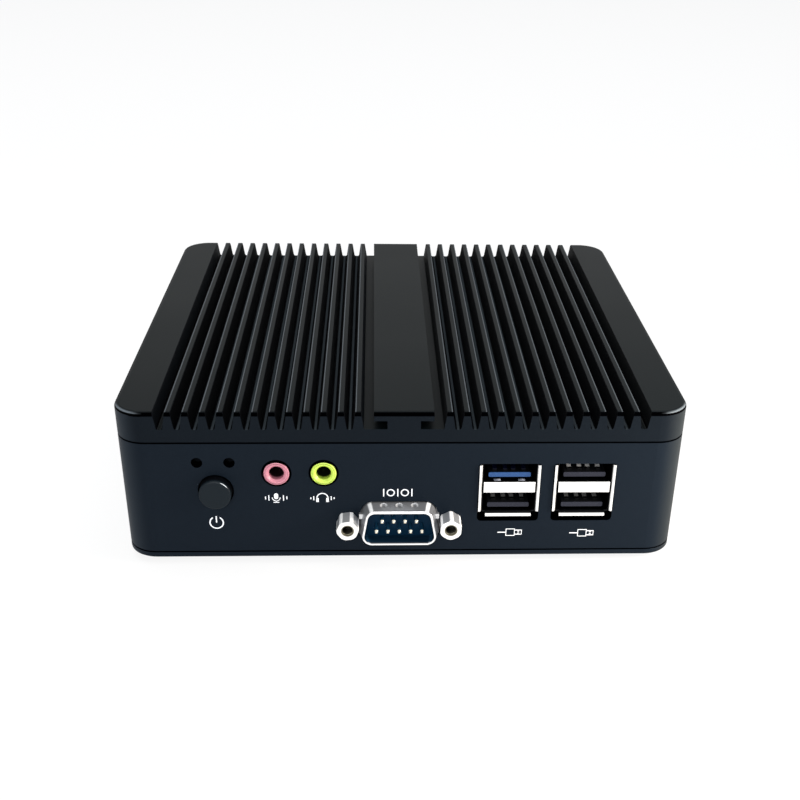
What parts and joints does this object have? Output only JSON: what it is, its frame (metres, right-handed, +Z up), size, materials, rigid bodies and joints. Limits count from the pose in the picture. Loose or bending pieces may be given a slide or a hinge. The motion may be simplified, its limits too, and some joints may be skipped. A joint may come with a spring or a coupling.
{
  "type": "fanless industrial pc",
  "caption": "Compact fanless industrial pc in a black finned aluminium case, with data, serial and audio ports and a power button on the front.",
  "frame": {"origin": "middle of the footprint, on the surface that the feet stand on", "axes": "+Z up, X across the front with +X to the right seen from the front, front panel faces -Y"},
  "size_m": [0.136, 0.1372, 0.0415],
  "materials": {
    "black_anodised": "black anodised, bead-blasted satin",
    "black_rubber": "matt",
    "black_zinc_steel": "black zinc",
    "zinc_steel": "zinc plated",
    "nickel_shell": "bright nickel plated",
    "board_green": "solder mask",
    "chip_black": "moulded epoxy",
    "pad_grey": "silicone",
    "bare_aluminium": "milled",
    "gold_contact": "gold flash",
    "connector_black": "glass-filled nylon",
    "connector_grey": "glass-filled nylon",
    "tongue_blue": "glass-filled nylon",
    "insert_blue": "glass-filled nylon",
    "jack_pink": "moulded",
    "jack_lime": "moulded",
    "button_black": "fine spark-eroded satin",
    "lamp_clear": "diffused lens",
    "spring_steel": "drawn wire",
    "ribbon_grey": "flat cable",
    "cell_steel": "stamped",
    "capacitor_can": "can"
  },
  "bodies": {
    "case": {"lid_heatsink": "black_anodised", "body_frame": "black_anodised", "bottom_cover": "black_anodised", "rubber_feet": "black_rubber", "cover_screws": "black_zinc_steel", "lid_screws": "black_zinc_steel", "mounting_nuts": "zinc_steel", "main_board": "board_green", "board_screws": "zinc_steel", "processor": "chip_black", "thermal_pad": "pad_grey", "heat_block": "bare_aluminium", "heat_block_screws": "zinc_steel", "memory_module": "board_green", "memory_socket": "connector_black", "storage_card": "board_green", "storage_socket": "connector_black", "storage_standoff": "zinc_steel", "storage_screw": "zinc_steel", "clock_cell": "cell_steel", "clock_cell_holder": "connector_black", "power_chokes": "chip_black", "capacitors": "capacitor_can", "indicator_lamps": "lamp_clear", "switch_housing": "connector_black", "button_spring": "spring_steel", "microphone_jack": "jack_pink", "speaker_jack": "jack_lime", "jack_springs": "gold_contact", "front_serial_shell": "nickel_shell", "front_serial_insert": "insert_blue", "front_serial_pins": "gold_contact", "front_serial_jackscrews": "nickel_shell", "front_serial_cable": "ribbon_grey", "front_serial_header": "connector_black", "rear_serial_shell": "nickel_shell", "rear_serial_insert": "insert_blue", "rear_serial_pins": "gold_contact", "rear_serial_jackscrews": "nickel_shell", "rear_serial_cable": "ribbon_grey", "rear_serial_header": "connector_black", "serial_lock_nuts": "zinc_steel", "left_port_shell": "nickel_shell", "right_port_shell": "nickel_shell", "port_middle_shields": "nickel_shell", "blue_port_insert": "tongue_blue", "dark_port_inserts": "connector_grey", "port_contacts": "gold_contact", "power_inlet": "connector_black", "power_inlet_pin": "zinc_steel", "power_inlet_leaf": "spring_steel", "video_port_shell": "nickel_shell", "video_port_insert": "connector_black", "network_port_shells": "nickel_shell", "network_port_inserts": "connector_black", "network_contacts": "gold_contact"},
    "power_button": {"button_cap": "button_black", "switch_plunger": "connector_grey"}
  },
  "joints": [
    {"name": "button_press", "type": "slide", "parent": "case", "child": "power_button", "axis": [0, 1, 0], "range_m": [0, 0.001], "stiffness_N_per_m": 400, "springref_m": -0.001, "deforming": ["button_spring"]}
  ]
}
